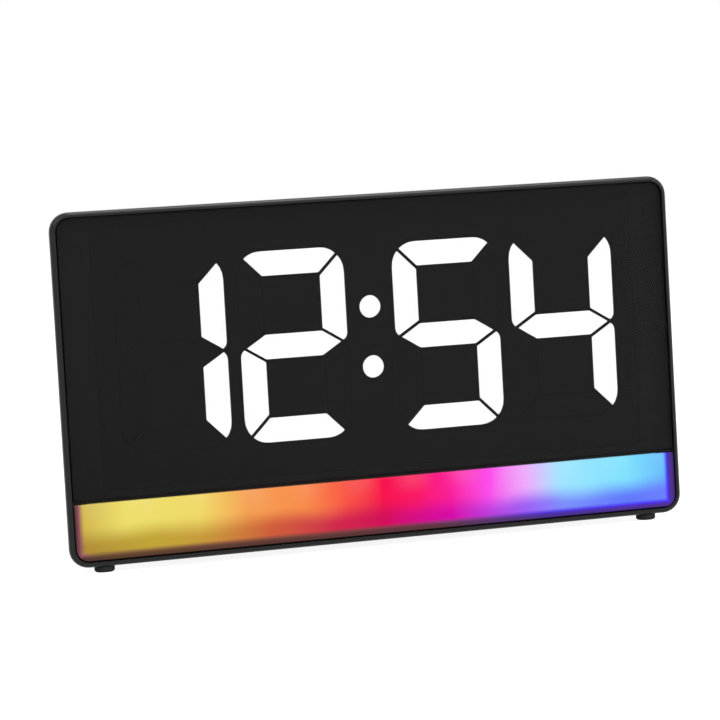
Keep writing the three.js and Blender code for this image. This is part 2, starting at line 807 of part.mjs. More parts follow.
// A round button, its place at the back face of the hump
function rearButton() {
  const radius = buttonDiameter / 2;
  const flangeBack = buttonFlangeBack - humpBack;
  const flangeRadius = radius + buttonClearance + buttonFlangeWidth;
  const tip = buttonTip - humpBack;
  return turned([
    [0, tip],
    [buttonStemDiameter / 2, tip],
    [buttonStemDiameter / 2, flangeBack - buttonFlange],
    [flangeRadius, flangeBack - buttonFlange],
    [flangeRadius, flangeBack],
    [radius, flangeBack],
    [radius, buttonProud - buttonEdge],
    [radius - buttonEdge, buttonProud],
    [0, buttonProud],
  ]);
}

// A vertical power inlet: a flat shell with round ends and a tongue, its mouth towards the back
function powerSocket() {
  const shell = boxAround(socketX, socketZ, socketWidth, socketHeight);
  const mouth = insetBox(shell, socketWall);
  const back = humpBack - socketSunk;
  const tongue = boxAround(socketX, socketZ, tongueWidth, tongueThickness);
  const floor = back - socketMouthDepth;
  return join(
    cut(
      plate(roundedOutline(shell, socketRadius), mainBoardBack, back),
      plate(roundedOutline(mouth, socketRadius - socketWall), floor, back + overrun),
    ),
    plate(boxOutline(tongue), floor - root, floor + tongueLength),
  );
}

function buzzer() {
  const radius = buzzerDiameter / 2;
  return turned([
    [0, 0],
    [radius, 0],
    [radius, buzzerHeight - buzzerEdge],
    [radius - buzzerEdge, buzzerHeight],
    [buzzerHole / 2, buzzerHeight],
    [buzzerHole / 2, buzzerHeight - buzzerHoleDepth],
    [0, buzzerHeight - buzzerHoleDepth],
  ]);
}

// A can on the board's front, with a groove above its base
function capacitor() {
  const radius = capacitorDiameter / 2;
  return turned([
    [0, -capacitorHeight],
    [radius - capacitorGroove, -capacitorHeight],
    [radius, capacitorGroove - capacitorHeight],
    [radius, -capacitorGroove - capacitorBase],
    [radius - capacitorGroove, -capacitorBase],
    [radius, 0],
    [0, 0],
  ], screwSides);
}

function processor() {
  const box = boxAround(chipX, mainBoardLow + chipRise, chipSize, chipSize);
  return plate(boxOutline(box), mainBoardFront - chipHeight, mainBoardFront);
}

// A metal can with round ends, lying flat on the board
function quartzCrystal() {
  const box = boxAround(crystalX, mainBoardLow + crystalRise, crystalLength, crystalDiameter);
  const outline = roundedOutline(box, crystalDiameter / 2 - edgeBreak);
  return plate(outline, mainBoardFront - crystalDiameter, mainBoardFront);
}

// The ribbon bows upwards between the boards and is laid flat on each at its ends
function ribbonCable() {
  const front = behind(displayBoardBack);
  const back = behind(mainBoardFront);
  const middle = (front + back) / 2;
  const bow = (lift) => Array.from({ length: ribbonSteps + 1 }, (_, step) => {
    const angle = quarterTurn * 2 * (1 - step / ribbonSteps);
    const reach = (back - front) / 2 - lift;
    return new THREE.Vector2(middle + reach * Math.cos(angle), (ribbonSag - lift) * Math.sin(angle));
  });
  const outer = bow(0);
  const inner = bow(ribbonThickness).reverse();
  const tail = (y) => new THREE.Vector2(y, -ribbonTail);
  const outline = [tail(front), ...outer, tail(back), tail(back - ribbonThickness), ...inner,
    tail(front + ribbonThickness)];
  const shape = new THREE.Shape(outline);
  const geometry = new THREE.ExtrudeGeometry(shape, { depth: ribbonWidth, bevelEnabled: false });
  const lay = new THREE.Matrix4().set(0, 0, 1, 0, 1, 0, 0, 0, 0, 1, 0, 0, 0, 0, 0, 1);
  return geometry.applyMatrix4(lay).translate(mainBoardRight - ribbonInset - ribbonWidth / 2, 0,
    mainBoardHigh - ribbonDrop);
}

function coinCellHolder() {
  const pocketDiameter = cellDiameter + 2 * seatGap;
  const box = boxAround(doorX, doorZ, pocketDiameter + 2 * holderSide, pocketDiameter + 2 * holderEnd);
  const floor = mainBoardBack + holderFloor;
  const back = floor + seatGap + cellThickness;
  const pocket = rod(doorX, doorZ, pocketDiameter, floor, back + overrun, 2 * turnedSides);
  return cut(plate(roundedOutline(box, boardRadius), mainBoardBack, back), pocket);
}

function coinCell() {
  const radius = cellDiameter / 2;
  return turned([
    [0, 0],
    [radius - cellStep, 0],
    [radius - cellStep, cellStep],
    [radius, cellStep],
    [radius, cellThickness - edgeBreak],
    [radius - edgeBreak, cellThickness],
    [0, cellThickness],
  ], 2 * turnedSides);
}

const doorBox = boxAround(doorX, doorZ, cellDiameter + 2 * doorSideMargin,
  cellDiameter + 2 * doorEndMargin);
const doorScrewX = doorBox.right - doorScrewInset;
const doorScrewLugBox = boxAround(doorScrewX, doorZ, doorScrewLug, doorScrewLug);
const doorWell = { ...insetBox(doorBox, doorLedge), right: doorScrewLugBox.left };

function batteryDoor() {
  const front = humpBack - doorThickness;
  const headFloor = humpBack - boardScrewHeadHeight - seatGap;
  const lid = insetBox(doorBox, fitGap);
  const ring = (inset, depth) => ({
    outline: roundedOutline(insetBox(lid, inset), doorRadius - fitGap - inset),
    depth,
  });
  return cut(
    join(
      loft([ring(0, front), ring(0, humpBack - edgeBreak), ring(edgeBreak, humpBack)]),
      plate(roundedOutline(insetBox(doorWell, seatGap), doorWellRadius), front - doorPad, front + root),
    ),
    plate(boardScrewHole(doorScrewX, doorZ), front - doorPad - overrun, humpBack + overrun),
    rod(doorScrewX, doorZ, boardScrewHead + 2 * holeClearance, headFloor, humpBack + overrun),
  );
}

// The shell's skin: up the inside from the hump's back wall, over the rim, and down the outside
function caseShell() {
  const hump = { left: -humpRight, right: humpRight, low: humpLow, high: humpHigh };
  const tapered = (box, taper) => ({ ...box, left: box.left + taper, right: box.right - taper });
  const ring = (box, radius, depth, lowRadius = radius) => ({
    outline: roundedOutline(box, radius, lowRadius),
    depth,
  });
  const inner = insetBox(hump, wall);
  const dish = insetBox(bodyBox, dishWall);
  const turns = Array.from({ length: roundSteps }, (_, step) => quarterTurn * (step + 1) / roundSteps);
  return loft([
    ring(tapered(inner, humpTaper), humpRadius - wall, humpInside),
    ring(inner, humpRadius - wall, dishFloorDepth),
    ring(dish, cornerRadius - dishWall, dishFloorDepth),
    ring(dish, cornerRadius - dishWall, caseFront),
    ring(partingBox, cornerRadius - sideDraw, caseFront, cornerRadius),
    ...turns.map((turn) => {
      const inset = backRound * (1 - Math.cos(turn));
      return ring(insetBox(partingBox, inset), cornerRadius - sideDraw - inset,
        caseFront + backRound * Math.sin(turn), cornerRadius - inset);
    }),
    ring(hump, humpRadius, dishBack),
    ring(tapered(hump, humpTaper), humpRadius, humpBack - humpBackRound),
    ...turns.map((turn) => ring(insetBox(tapered(hump, humpTaper), humpBackRound * (1 - Math.cos(turn))),
      humpRadius - humpBackRound * (1 - Math.cos(turn)), humpBack - humpBackRound * (1 - Math.sin(turn)))),
  ]);
}

const buttonPlaces = Array.from({ length: buttonCount },
  (_, place) => (place - (buttonCount - 1) / 2) * buttonPitch);
const rearFootPlaces = [-1, 1].map((side) => side * (humpRight - rearFootInset));
const grillePlaces = [[0, 0], ...circleOutline(0, 0, grillePitch, grilleCount).map(({ x, y }) => [x, y])];

// What is moulded onto the shell: posts, ribs, screw bosses, a rim round the door and two legs
function caseBosses() {
  const inside = humpInside + root;
  const clampHeight = displayBox.high - clampInset - digitZ;
  const clampX = clampInside + clampReach / 2;
  const clamps = [-1, 1].flatMap((side) => [-1, 1].map((end) => plate(
    boxOutline(boxAround(side * clampX, digitZ + end * clampHeight, clampReach, clampRib)),
    displayBoardBack + seatGap,
    inside,
  )));
  const ribFront = troughBack + seatGap;
  const lightRibs = [-1, 1].map((side) => plate(boxOutline({
    left: side * lightRibX - lightRibWidth / 2,
    right: side * lightRibX + lightRibWidth / 2,
    low: humpLow + wall - root,
    high: trough.low + lightRibReach,
  }), ribFront, ribFront + lightRibThickness));
  return [
    ...mainPostPlaces.map(([x, z]) => rod(x, z, mainPostDiameter, mainBoardBack + seatGap, inside)),
    ...caseScrewPlaces.map(([x, z]) => rod(x, z, caseBossDiameter, caseFront, dishFloorDepth + root)),
    ...clamps,
    ...lightRibs,
    plate(roundedOutline(doorBox, doorRadius), humpInside - doorRim, inside),
    plate(boxOutline(insetBox(doorScrewLugBox, -root)), humpInside - boardScrewReach, inside),
    ...rearFootPlaces.map((x) => column(circleOutline(x, behind(rearFootDepth), legDiameter / 2), bodyLow,
      humpLow + root)),
  ];
}

function caseCuts() {
  const inside = humpInside - overrun;
  const through = humpBack + overrun;
  const screwFront = dishBack - caseScrewHeadHeight;
  const inlet = insetBox(boxAround(socketX, socketZ, socketWidth, socketHeight), -seatGap);
  const lidFloor = humpBack - doorThickness - seatGap;
  return [
    ...buttonPlaces.map((x) => rod(x, buttonRow, buttonDiameter + 2 * buttonClearance, inside, through,
      turnedSides)),
    ...grillePlaces.map(([x, z]) => rod(buzzerX + x, buzzerZ + z, grilleHole, inside, through)),
    plate(roundedOutline(inlet, socketRadius + seatGap), inside, through),
    plate(roundedOutline(doorBox, doorRadius), lidFloor, through),
    plate(roundedOutline(doorWell, doorWellRadius), inside - doorRim, through),
    plate(boardScrewHole(doorScrewX, doorZ), inside - boardScrewReach, through),
    ...mainPostPlaces.map(([x, z]) => plate(boardScrewHole(x, z), mainBoardBack - overrun,
      mainBoardBack + boardScrewReach + seatGap)),
    ...caseScrewPlaces.flatMap(([x, z]) => [
      rod(x, z, caseScrewDiameter + 2 * holeClearance, caseFront - overrun, dishBack + overrun),
      rod(x, z, caseScrewHead + 2 * holeClearance, screwFront, dishBack + overrun),
    ]),
    column(snoozeOutline(buttonClearance), humpHigh - wall - overrun, humpHigh + overrun),
    ...frontFootPlaces.map((x) => footHole(x, frontFootDepth)),
    ...rearFootPlaces.map((x) => footHole(x, rearFootDepth)),
  ];
}

function rearCase() {
  return cut(join(caseShell(), ...caseBosses()), ...caseCuts());
}

// A rubber disc with a stem that plugs into the body, standing on height zero
function foot() {
  const radius = footDiameter / 2;
  return turnedUpright([
    [0, 0],
    [radius - footEdge, 0],
    [radius, footEdge],
    [radius, footProud],
    [footStemDiameter / 2, footProud],
    [footStemDiameter / 2, footProud + footStem],
    [0, footProud + footStem],
  ]);
}

const front = assembly(
  part('front_frame', frontFrame(), 'frameBlack'),
  part('display_lens', displayLens(), 'lensSmoke'),
  part('light_bar', lightBar(), 'barOpal'),
);

const display = assembly(
  part('digit_mask', digitMask(), 'maskBlack'),
  digitCentres.map((x, place) => part(`digit_diffuser_${place + 1}`, digitDiffuser(), 'opalWhite', x, 0,
    digitZ)),
  part('colon_diffuser', colonDiffuser(), 'opalWhite', 0, 0, digitZ),
  part('segment_reflector', segmentReflector(), 'reflectorWhite'),
  part('display_board', displayBoard(), 'boardGreen'),
  displayScrewPlaces.map(([x, z], place) => part(`display_board_screw_${place + 1}`, boardScrew(),
    'plainSteel', x, behind(displayBoardBack), z)),
);

const moodLight = assembly(
  part('light_box', lightBox(), 'reflectorWhite'),
  part('light_strip_board', lightStripBoard(), 'boardGreen'),
  Array.from({ length: ledCount }, (_, place) => part(`mood_led_${place + 1}`, moodLed(), 'opalWhite',
    (place - (ledCount - 1) / 2) * ledPitch, stripFront, troughMiddle)),
);

const works = assembly(
  part('main_board', mainBoard(), 'boardGreen'),
  mainPostPlaces.map(([x, z], place) => part(`main_board_screw_${place + 1}`,
    boardScrew().rotateX(2 * quarterTurn), 'plainSteel', x, behind(mainBoardFront), z)),
  part('processor', processor(), 'chipBlack'),
  part('capacitor', capacitor(), 'plainSteel', mainBoardRight - capacitorInset,
    behind(mainBoardFront), mainBoardLow + capacitorRise),
  part('quartz_crystal', quartzCrystal(), 'plainSteel'),
  part('buzzer', buzzer(), 'chipBlack', buzzerX, behind(mainBoardBack), buzzerZ),
  part('ribbon_cable', ribbonCable(), 'cableGrey'),
  buttonPlaces.map((x, place) => part(`button_switch_${place + 1}`, pushSwitch(), 'chipBlack', x,
    mainBoardBack, buttonRow)),
  part('snooze_switch', snoozeSwitch(), 'chipBlack'),
  part('power_socket', powerSocket(), 'plainSteel'),
  part('coin_cell_holder', coinCellHolder(), 'chipBlack'),
  part('coin_cell', coinCell(), 'plainSteel', doorX, behind(mainBoardBack + holderFloor + seatGap), doorZ),
);

const buttonNames = ['time', 'alarm', 'up', 'down', 'light', 'dimmer'];

const controls = assembly(
  part('snooze_bar', snoozeBar(), 'buttonBlack'),
  buttonPlaces.map((x, place) => part(`${buttonNames[place]}_button`, rearButton(), 'buttonBlack', x,
    behind(humpBack), buttonRow)),
);

const caseParts = assembly(
  part('rear_case', rearCase(), 'frameBlack'),
  part('battery_door', batteryDoor(), 'frameBlack'),
  part('battery_door_screw', doorScrew(), 'screwBlack', doorScrewX, behind(humpBack - boardScrewHeadHeight),
    doorZ),
  caseScrewPlaces.map(([x, z], place) => part(`case_screw_${place + 1}`, caseScrew(), 'screwBlack', x,
    behind(dishBack - caseScrewHeadHeight), z)),
  frontFootPlaces.map((x, place) => part(`foot_${place + 1}`, foot(), 'rubberBlack', x,
    behind(frontFootDepth), 0)),
  rearFootPlaces.map((x, place) => part(`foot_${place + 3}`, foot(), 'rubberBlack', x,
    behind(rearFootDepth), 0)),
);

export default assembly(front, display, moodLight, works, controls, caseParts);
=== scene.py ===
import math

import bpy
from mathutils import Matrix, Vector


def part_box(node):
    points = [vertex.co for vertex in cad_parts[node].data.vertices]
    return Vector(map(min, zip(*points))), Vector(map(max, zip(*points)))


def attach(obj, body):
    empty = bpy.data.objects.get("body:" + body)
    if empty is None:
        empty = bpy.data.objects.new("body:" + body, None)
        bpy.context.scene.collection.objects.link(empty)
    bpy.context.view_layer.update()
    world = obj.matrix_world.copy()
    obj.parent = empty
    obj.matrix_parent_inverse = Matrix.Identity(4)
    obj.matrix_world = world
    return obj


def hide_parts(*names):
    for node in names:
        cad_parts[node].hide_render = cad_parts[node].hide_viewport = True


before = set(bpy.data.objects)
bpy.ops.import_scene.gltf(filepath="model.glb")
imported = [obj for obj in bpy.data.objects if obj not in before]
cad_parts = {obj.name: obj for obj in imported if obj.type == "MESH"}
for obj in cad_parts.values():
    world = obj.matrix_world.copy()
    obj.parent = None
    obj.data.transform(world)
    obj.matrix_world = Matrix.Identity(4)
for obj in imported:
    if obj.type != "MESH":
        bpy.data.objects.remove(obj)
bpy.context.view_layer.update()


# Studio: a white sweep under soft boxes. The camera stands to the left of the clock and a little
# above it, with a long lens, as the product was photographed. The surroundings are seen white and
# light the clock at half that strength. The floor's white is only seen, and lights nothing.
CAMERA_PLACE = (-0.25363, -0.81574, 0.10613)
CAMERA_RIGHT = (0.95165, -0.30187, -0.05691)
CAMERA_UP = (0.07466, 0.0476, 0.99607)
LENS_LENGTH = 160
FLOOR_SIZE = 6
FLOOR_NEAR_WHITE = 0.9
FLOOR_WHITE_REACH = 0.9
AMBIENT = 0.5
EYES = ("Is Camera Ray", "Is Glossy Ray", "Is Transmission Ray")


class Wire:
    """A value in a shading, on which Python's arithmetic adds Math nodes."""

    def __init__(self, shading, socket):
        self.shading = shading
        self.socket = socket

    def math(self, operation, *others):
        values = dict(enumerate((self, *others)))
        return self.shading.node("ShaderNodeMath", {"operation": operation}, values)

    def __add__(self, other):
        return self.math("ADD", other)

    def __sub__(self, other):
        return self.math("SUBTRACT", other)

    def __rsub__(self, other):
        return self * -1 + other

    def __mul__(self, other):
        return self.math("MULTIPLY", other)

    def __truediv__(self, other):
        return self.math("DIVIDE", other)

    def __gt__(self, other):
        return self.math("GREATER_THAN", other)

    def __lt__(self, other):
        return self.math("LESS_THAN", other)

    __radd__ = __add__
    __rmul__ = __mul__


def distance(across, along):
    """How far a place lies from a middle, by its two distances from it."""
    return (across * across + along * along).math("SQRT")


class Shading:
    """The nodes of the surroundings or of a finish."""

    def __init__(self, tree):
        self.tree = tree

    def feed(self, socket, value):
        if isinstance(value, Wire):
            self.tree.links.new(value.socket, socket)
        elif socket.type == "RGBA":
            socket.default_value = (*value, 1)
        else:
            socket.default_value = value

    def node(self, kind, settings, inputs, output=0):
        node = self.tree.nodes.new(kind)
        for name, value in settings.items():
            if name == "stops":
                self.set_stops(node.color_ramp, value)
            else:
                setattr(node, name, value)
        for name, value in inputs.items():
            self.feed(node.inputs[name], value)
        return Wire(self, node.outputs[output])

    def set_stops(self, ramp, stops):
        while len(ramp.elements) < len(stops):
            ramp.elements.new(1)
        for element, (place, colour) in zip(ramp.elements, stops):
            element.position = place
            element.color = (*colour, 1)

    def watched(self):
        """1 for what the camera sees, straight or in gloss or through glass, and 0 for lighting."""
        eyes = [self.node("ShaderNodeLightPath", {}, {}, output=eye) for eye in EYES]
        return eyes[0].math("MAXIMUM", eyes[1]).math("MAXIMUM", eyes[2])


# A Mix node has sockets for each kind of value, and these are the places of its colours
MIX_SHARE = 0
MIX_FIRST = 6
MIX_SECOND = 7
MIX_RESULT = 2


class Finish(Shading):
    """A material on one surface shader. Its patterns are worked out from the place on the piece."""

    def __init__(self, name, **surface):
        self.material = bpy.data.materials.new(name)
        self.material.use_nodes = True
        super().__init__(self.material.node_tree)
        self.surface = self.tree.nodes["Principled BSDF"]
        self.set(**surface)

    def place(self, axis=None):
        whole = self.node("ShaderNodeTexCoord", {}, {}, output="Object")
        if axis is None:
            return whole
        return self.node("ShaderNodeSeparateXYZ", {}, {0: whole}, output=axis)

    def grain(self, size, detail=3.0, stretch=(1, 1, 1)):
        """Noise from 0 to 1 whose lumps are about that size, in metres."""
        spread = self.node("ShaderNodeMapping", {}, {"Vector": self.place(), "Scale": stretch})
        return self.node("ShaderNodeTexNoise", {}, {"Vector": spread, "Scale": 1 / size, "Detail": detail})

    def blend(self, share, first, second):
        """The first colour where share is 0, the second where it is 1."""
        inputs = {MIX_SHARE: share, MIX_FIRST: first, MIX_SECOND: second}
        return self.node("ShaderNodeMix", {"data_type": "RGBA"}, inputs, output=MIX_RESULT)

    def set(self, **surface):
        for socket, value in surface.items():
            self.feed(self.surface.inputs[socket.replace("_", " ")], value)

    def bump(self, height, depth):
        """Raises the surface by height, a value from 0 to 1, times depth in metres."""
        self.set(Normal=self.node("ShaderNodeBump", {}, {"Height": height, "Distance": depth}))


camera = bpy.data.objects.new("camera", bpy.data.cameras.new("camera"))
bpy.context.collection.objects.link(camera)
camera.data.lens = LENS_LENGTH
camera.data.sensor_width = 36
camera.data.clip_start = 0.01
right, up = Vector(CAMERA_RIGHT), Vector(CAMERA_UP)
turn = Matrix((right, up, right.cross(up))).transposed()
camera.matrix_world = Matrix.LocRotScale(Vector(CAMERA_PLACE), turn, None)
bpy.context.scene.camera = camera

for name, place, size, power in (
    ("key_box", (-0.7, -1.1, 1.1), 0.9, 9.0),
    ("fill_box", (1.1, -0.9, 0.7), 0.9, 4.0),
    ("back_box", (0.1, 1.1, 1.0), 0.9, 4.0),
    ("top_box", (0.2, -0.15, 0.8), 0.35, 4.0),
):
    lamp = bpy.data.objects.new(name, bpy.data.lights.new(name, "AREA"))
    bpy.context.collection.objects.link(lamp)
    lamp.data.size = size
    lamp.data.energy = power
    lamp.location = place
    lamp.rotation_euler = (Vector((0, 0, 0.05)) - Vector(place)).to_track_quat("-Z", "Y").to_euler()

world = bpy.data.worlds.new("studio_white")
bpy.context.scene.world = world
world.use_nodes = True
surroundings = Shading(world.node_tree)
backdrop = world.node_tree.nodes["Background"]
surroundings.feed(backdrop.inputs["Color"], (1, 1, 1))
surroundings.feed(backdrop.inputs["Strength"], AMBIENT + (1 - AMBIENT) * surroundings.watched())

bpy.ops.mesh.primitive_plane_add(size=FLOOR_SIZE, location=(0, 0, 0))
floor = bpy.context.object
floor.name = "floor"
sweep = Finish("sweep_paper", Roughness=0.9, Specular_IOR_Level=0.0, Base_Color=(0.25, 0.25, 0.25))
far = (distance(sweep.place("X"), sweep.place("Y")) / FLOOR_WHITE_REACH).math("MINIMUM", 1.0)
lift = sweep.blend(far, (FLOOR_NEAR_WHITE,) * 3, (1, 1, 1))
sweep.set(Emission_Color=sweep.blend(sweep.watched(), (0, 0, 0), lift), Emission_Strength=1)
floor.data.materials.append(sweep.material)

bpy.context.scene.view_settings.view_transform = "Standard"


# Front frame: one satin black moulding, a ring with a thin crossbar between display and light bar.
# Its outer edge is rounded over, and the tool leaves every other edge just broken. The opening behind the
# lens and the light bar, crossbar and all, is painted near black and rough, as painted shade in the gaps
# around them.
EDGE_SHARP = math.radians(38)
STILL_FLAT = math.radians(0.5)
SAME_PLACE = 0.000002
CORNER_SIDE = 0.0795  # the middles of the front's rounded corners
CORNER_LOW = 0.0066
CORNER_HIGH = 0.0876
OPENING_ROUND = 0.0036


def linear(colour):
    """A colour as written in hexadecimal, in the light that it stands for."""
    shares = [int(colour[place:place + 2], 16) / 255 for place in (0, 2, 4)]
    return tuple(s / 12.92 if s < 0.04045 else ((s + 0.055) / 1.055) ** 2.4 for s in shares)


frame_black = Finish("frame_black", Specular_IOR_Level=0.2)
satin = frame_black.grain(0.00035, detail=4)
moulding = frame_black.blend(frame_black.grain(0.02), linear("1f1f20"), linear("262627"))
frame_z = frame_black.place("Z")
past_side = (frame_black.place("X").math("ABSOLUTE") - CORNER_SIDE).math("MAXIMUM", 0)
past_end = (frame_z - CORNER_HIGH).math("MAXIMUM", CORNER_LOW - frame_z).math("MAXIMUM", 0)
# painted shade: near black over the opening's walls and the crossbar
painted_gap_shade = distance(past_side, past_end) < OPENING_ROUND
frame_black.set(
    Base_Color=frame_black.blend(painted_gap_shade, moulding, (0.002, 0.002, 0.002)),
    Roughness=0.24 + 0.1 * satin + 0.4 * painted_gap_shade,
)
frame_black.bump(satin, 0.000005)


def rest_all():
    bpy.ops.object.select_all(action="DESELECT")


def take_up(piece):
    rest_all()
    piece.select_set(True)
    bpy.context.view_layer.objects.active = piece


def moulded(node, name, edge, sharp=EDGE_SHARP):
    """A copy of a CAD solid with its corners joined, its flat faces merged and its edges broken."""
    piece = bpy.data.objects.new(name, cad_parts[node].data.copy())
    bpy.context.collection.objects.link(piece)
    take_up(piece)
    bpy.ops.object.mode_set(mode="EDIT")
    bpy.ops.mesh.select_all(action="SELECT")
    bpy.ops.mesh.remove_doubles(threshold=SAME_PLACE)
    bpy.ops.mesh.dissolve_limited(angle_limit=STILL_FLAT)
    bpy.ops.object.mode_set(mode="OBJECT")
    bevel = piece.modifiers.new("broken_edges", "BEVEL")
    bevel.width = edge
    bevel.segments = 2
    bevel.limit_method = "ANGLE"
    bevel.angle_limit = sharp
    bpy.ops.object.modifier_apply(modifier=bevel.name)
    bpy.ops.object.shade_smooth_by_angle(angle=sharp)
    level = piece.modifiers.new("level_faces", "WEIGHTED_NORMAL")
    level.keep_sharp = True
    bpy.ops.object.modifier_apply(modifier=level.name)
    return piece


def dress(piece, finish, slot=None, body=None):
    """Gives a piece its finish, and when a slot is named, as for a new piece, hangs it on its body too."""
    piece.data.materials.clear()
    piece.data.materials.append(finish.material)
    if slot:
        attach(piece, body)


frame_ring = moulded("front_frame", "frame_ring", edge=0.00008)
dress(frame_ring, frame_black, "frame_plastic", "clock")
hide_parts("front_frame")


# Display lens: a polished sheet of smoked acrylic, let into the frame a little below its rim.
# Only what is lit behind it shows. Its sawn ends are painted near black and opaque, as painted shade in the
# gap around it.
LENS_END = 0.0827
SMOKE = 0.35  # how much of the light the sheet stops

lens_smoke = Finish("lens_smoke", Specular_IOR_Level=0.12)
handling = lens_smoke.grain(0.03, detail=2)
# painted shade: the sheet's ends, near black and opaque
lens_end_painted_shade = lens_smoke.place("X").math("ABSOLUTE") > LENS_END
lens_smoke.set(
    Base_Color=lens_smoke.blend(lens_end_painted_shade, (0.026, 0.026, 0.026), (0.001, 0.001, 0.001)),
    Roughness=0.16 + 0.05 * handling,
    Alpha=SMOKE + (1 - SMOKE) * lens_end_painted_shade,
)
dress(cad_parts["display_lens"], lens_smoke)


# Light bar: an opal acrylic strip across the clock's foot. Coloured lamps behind it wash it from
# yellow through red and violet to blue, brighter above, where they sit. Its ends and lower edge
# lie on the frame's ledge, where the glow dies away.
LIT_HALF_WIDTH = 0.08045
LIT_LOW = 0.00505
LEFT_LEDGE = -0.0813
LEFT_SPREAD = 0.7
LOWER_TO_UPPER = (0.0068, 0.013)  # in a pair, where the change starts and where it ends
LIT_TO_LEDGE = (-0.0008, 0.0005)
NEAR_TO_FAR = (0.0001, 0.0011)
FAR_TO_DARK = (0.0015, 0.0029)
RIM_SHADE = (0.003, 0.0034)
LAMP_RISE = (0.0125, 0.0172)
LAMP_PITCH = 0.0145
LAMP_PHASE = 2.7
LAMP_SHARE = 0.04

opal_glow = Finish(
    "opal_glow",
    Base_Color=(0.002, 0.002, 0.002),
    Roughness=0.3,
    Specular_IOR_Level=0.02,
    Emission_Strength=1,
)
across = opal_glow.place("X")
height = opal_glow.place("Z")
drift = opal_glow.grain(0.022, detail=1) - 0.5
along = across / (2 * LIT_HALF_WIDTH) + 0.5 + 0.02 * drift


def soft_step(value, start, end):
    """0 below start, 1 above end, with an eased change between them."""
    settings = {"interpolation_type": "SMOOTHSTEP"}
    inputs = {"Value": value, "From Min": start, "From Max": end}
    return value.shading.node("ShaderNodeMapRange", settings, inputs)


def wash(*stops):
    """A colour that changes along the bar, from its left end at 0 to its right end at 1."""
    stops = [(place, linear(colour)) for place, colour in stops]
    return opal_glow.node("ShaderNodeValToRGB", {"stops": stops}, {0: along})


upper_wash = wash((0, "d2b74e"), (0.07, "eddf6c"), (0.19, "efd866"), (0.27, "f5a054"), (0.37, "f88a4a"),
                  (0.44, "f95044"), (0.5, "f80c4c"), (0.56, "fa1464"), (0.62, "fb1c98"), (0.69, "fb4cec"),
                  (0.75, "eea8fc"), (0.81, "a0e5ff"), (0.93, "7fe1fd"), (1, "67bbfc"))
lower_wash = wash((0, "b08d36"), (0.1, "c0a436"), (0.19, "c69b39"), (0.3, "cf5f39"), (0.42, "d0244a"),
                  (0.5, "d20658"), (0.62, "d602a8"), (0.68, "be37d8"), (0.75, "9c5ef7"), (0.82, "7a8ffb"),
                  (0.93, "6078fb"), (1, "6c80fc"))
near_wash = wash((0, "8e4e5e"), (0.015, "84623c"), (0.3, "7c4a3c"), (0.55, "7c3648"), (0.68, "7c3a90"),
                 (0.78, "5030e0"), (1, "4a2cff"))
far_wash = wash((0, "503634"), (0.05, "5c402c"), (0.35, "5a3732"), (0.6, "5c343e"), (0.74, "523478"),
                (0.8, "4a2f94"), (1, "4e3290"))
glow = opal_glow.blend(soft_step(height + 0.004 * drift, *LOWER_TO_UPPER), lower_wash, upper_wash)
lamps = (across * (2 * math.pi / LAMP_PITCH) + LAMP_PHASE).math("COSINE")
ripple = (0.5 + 0.5 * lamps) * soft_step(height, *LAMP_RISE)
glow = opal_glow.blend(ripple * LAMP_SHARE, glow, (1.0, 0.95, 0.85))
past_left = (LEFT_LEDGE - across) * LEFT_SPREAD
past_right = across - LIT_HALF_WIDTH
past_low = LIT_LOW - height
past = past_left.math("MAXIMUM", past_right).math("MAXIMUM", past_low)
ledge = opal_glow.blend(soft_step(past, *NEAR_TO_FAR), near_wash, far_wash)
ledge = opal_glow.blend(soft_step(past, *FAR_TO_DARK), ledge, (0.006, 0.003, 0.004))
edge_side = (-CORNER_SIDE - across).math("MAXIMUM", 0)
edge_low = (CORNER_LOW - height).math("MAXIMUM", 0)
shade = soft_step(distance(edge_side, edge_low), *RIM_SHADE)
ledge = opal_glow.blend(shade, ledge, (0.002, 0.001, 0.001))
opal_glow.set(Emission_Color=opal_glow.blend(soft_step(past, *LIT_TO_LEDGE), glow, ledge))
dress(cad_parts["light_bar"], opal_glow)


# Digit mask: a thin sheet printed matt black, with a window for each segment and for the colon's
# dots. It is laid close behind the lens, and hides the white plastic behind it.
mask_black = Finish("mask_black", Roughness=0.75, Specular_IOR_Level=0.1)
print_grain = mask_black.grain(0.0004, detail=2)
mask_black.set(Base_Color=mask_black.blend(print_grain, (0.0036, 0.0036, 0.0036), (0.005, 0.005, 0.005)))
mask_black.bump(print_grain, 0.000004)
dress(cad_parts["digit_mask"], mask_black)


# Digits: milky sheets with a raised plug in each window. The lamps behind the segments of 12:54 are on, so
# those plugs glow white, and the others, of the same milky plastic, are painted near black as shade.
# Segments part in the dark gaps between plugs, so a straight line there tells a lit plug from its neighbour.
DIGIT_MIDDLE = 0.05445
DIGIT_PLACES = (-0.0539, -0.0212, 0.0212, 0.0539)
STROKE_WIDTH = 0.0068
STROKE_HEIGHT = 0.0064
SEGMENT_GAP = 0.0007
WAIST_INSET = 0.0011
HALF_WIDTH = 0.01465
HALF_HEIGHT = 0.0249
LIT_SEGMENTS = ("bc", "abdeg", "acdfg", "bcfg")
GLOW = 2.1
MILK = (0.85, 0.85, 0.85)
# painted shade: the colour of unlit plugs, whose plastic is the same milk
UNLIT_PAINTED_SHADE = (0.0043, 0.0043, 0.0043)


